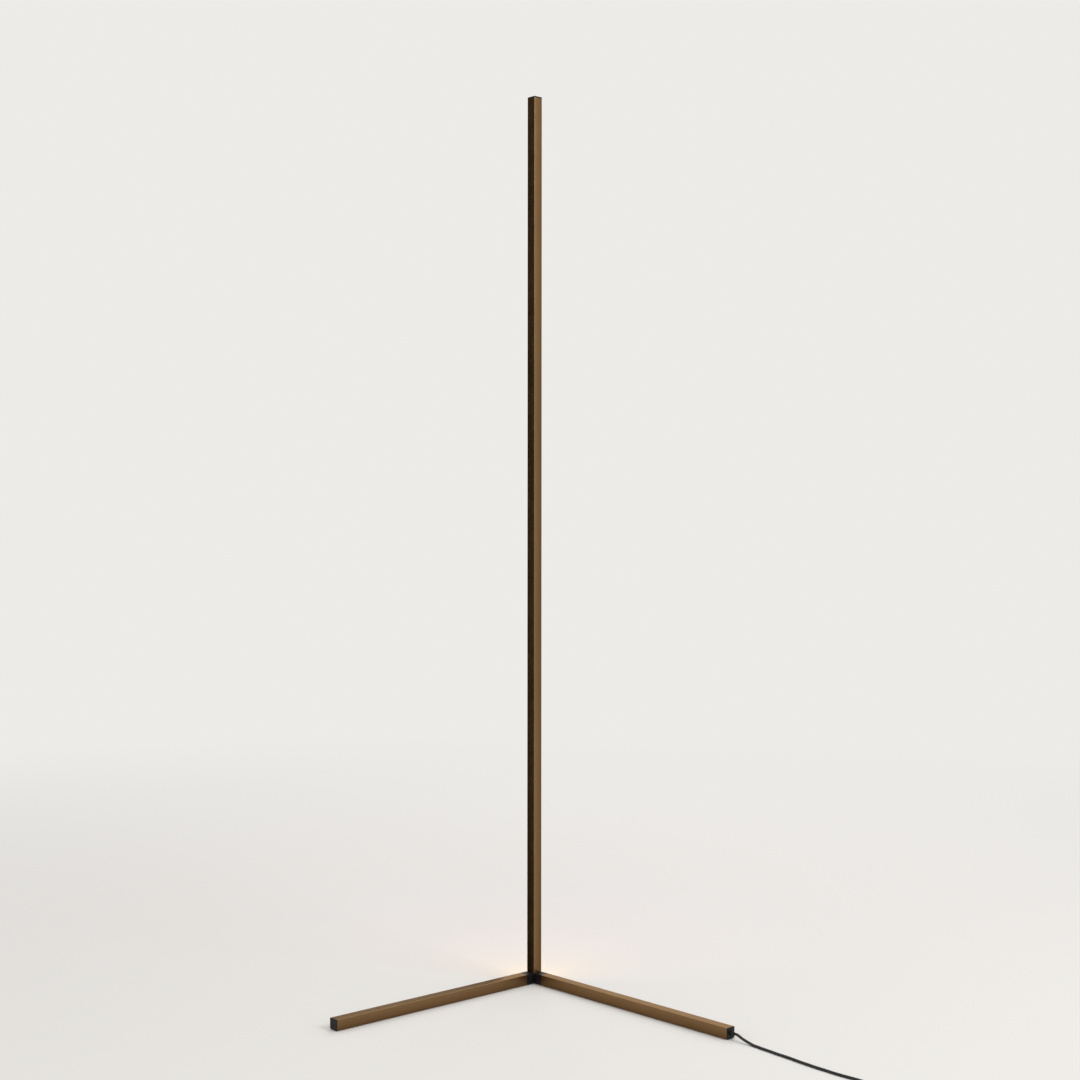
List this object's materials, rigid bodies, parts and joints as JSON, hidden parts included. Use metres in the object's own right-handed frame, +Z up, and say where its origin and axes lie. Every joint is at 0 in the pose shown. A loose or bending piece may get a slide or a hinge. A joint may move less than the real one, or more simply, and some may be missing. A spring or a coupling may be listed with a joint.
{
  "type": "corner floor lamp",
  "caption": "Slim corner floor lamp: a square bronze pole with a light channel in its back, on two square legs at a right angle, with a low-voltage cord.",
  "frame": {"origin": "on the floor, under the middle of the lamp's own bounding box, without its cord", "axes": "+Z up along the pole; +Y towards the room's corner, which the light channel faces; the legs reach forward, -Y, to each side"},
  "size_m": [0.7374, 0.6231, 1.4],
  "materials": {
    "bronze_anodised": "satin brushed bronze anodising",
    "milky_cover": "frosted translucent polycarbonate",
    "tape_film": "white solder mask",
    "led_package": "white package with yellow phosphor",
    "connector_plastic": "clear-white moulded clip",
    "black_plastic": "fine-textured moulded nylon",
    "soft_rubber": "satin soft moulding",
    "zinc_steel": "bright zinc plate",
    "cord_sheath": "satin PVC sheath",
    "black_abs": "spark-textured ABS",
    "circuit_board": "green solder mask",
    "key_plastic": "pale grey moulded keys",
    "window_plastic": "dark red receiver window",
    "plated_brass": "nickel-plated blades"
  },
  "bodies": {
    "lamp": {"pole": "bronze_anodised", "pole_cover": "milky_cover", "led_tape": "tape_film", "led_chips": "led_package", "tape_connector": "connector_plastic", "top_cap": "black_plastic", "corner_block": "black_plastic", "left_leg": "bronze_anodised", "right_leg": "bronze_anodised", "left_leg_cap": "black_plastic", "right_leg_cap": "black_plastic", "cord_grommet": "soft_rubber", "cord_stop": "zinc_steel", "inner_lead": "cord_sheath", "pole_screw": "zinc_steel", "leg_screws": "zinc_steel", "foot_pads": "soft_rubber", "cord_run": "cord_sheath", "cord_link": "cord_sheath", "cord_coil": "cord_sheath", "cord_tail": "cord_sheath", "controller_base": "black_abs", "controller_cover": "black_abs", "controller_board": "circuit_board", "controller_switches": "black_plastic", "controller_window": "window_plastic", "controller_boots": "soft_rubber", "controller_screws": "zinc_steel", "adapter_case": "black_abs", "adapter_face": "black_abs", "adapter_board": "circuit_board", "adapter_blades": "plated_brass", "adapter_boot": "soft_rubber"},
    "power_button": {"power_key": "key_plastic"},
    "colour_button": {"colour_key": "key_plastic"},
    "speed_button": {"speed_key": "key_plastic"}
  },
  "joints": [
    {"name": "power_press", "type": "slide", "parent": "lamp", "child": "power_button", "axis": [0, 0, -1], "range_m": [0, 0.0005], "stiffness_N_per_m": 800},
    {"name": "colour_press", "type": "slide", "parent": "lamp", "child": "colour_button", "axis": [0, 0, -1], "range_m": [0, 0.0005], "stiffness_N_per_m": 800},
    {"name": "speed_press", "type": "slide", "parent": "lamp", "child": "speed_button", "axis": [0, 0, -1], "range_m": [0, 0.0005], "stiffness_N_per_m": 800}
  ]
}
